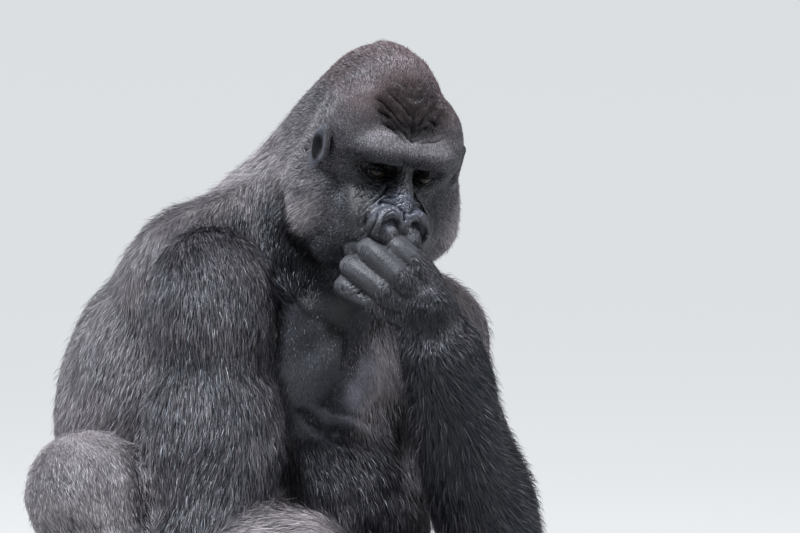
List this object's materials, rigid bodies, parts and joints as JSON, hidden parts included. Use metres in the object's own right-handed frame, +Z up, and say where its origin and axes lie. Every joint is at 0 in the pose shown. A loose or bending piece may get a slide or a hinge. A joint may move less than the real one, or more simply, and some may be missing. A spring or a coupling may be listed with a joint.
{
  "type": "seated gorilla",
  "caption": "Life-size seated silverback gorilla, bowed head turned aside, one fist at its mouth, the other arm resting across its folded legs.",
  "frame": {"origin": "middle of the bounding box at the floor it sits on", "axes": "the trunk faces -Y with its own left side towards +X, and +Z is up"},
  "size_m": [0.846, 0.853, 1.0828],
  "materials": {
    "coat": "dark grey hair, 20 to 60 mm long, streaked with paler tips",
    "silver_coat": "short silver-grey hair over dark skin",
    "bare_skin": "bare dark wrinkled skin with a soft sheen",
    "eye": "wet dark eye with an amber-brown iris"
  },
  "bodies": {
    "root": {"head": "coat", "neck": "coat", "chest": "coat", "abdomen": "silver_coat", "ear_right": "bare_skin", "ear_left": "bare_skin", "eye_right": "eye", "eye_left": "eye", "upper_arm_right": "coat", "forearm_right": "coat", "hand_right": "bare_skin", "upper_arm_left": "coat", "forearm_left": "coat", "hand_left": "bare_skin", "thigh_right": "silver_coat", "shank_right": "coat", "foot_right": "bare_skin", "thigh_left": "silver_coat", "shank_left": "coat", "foot_left": "bare_skin"}
  },
  "joints": []
}
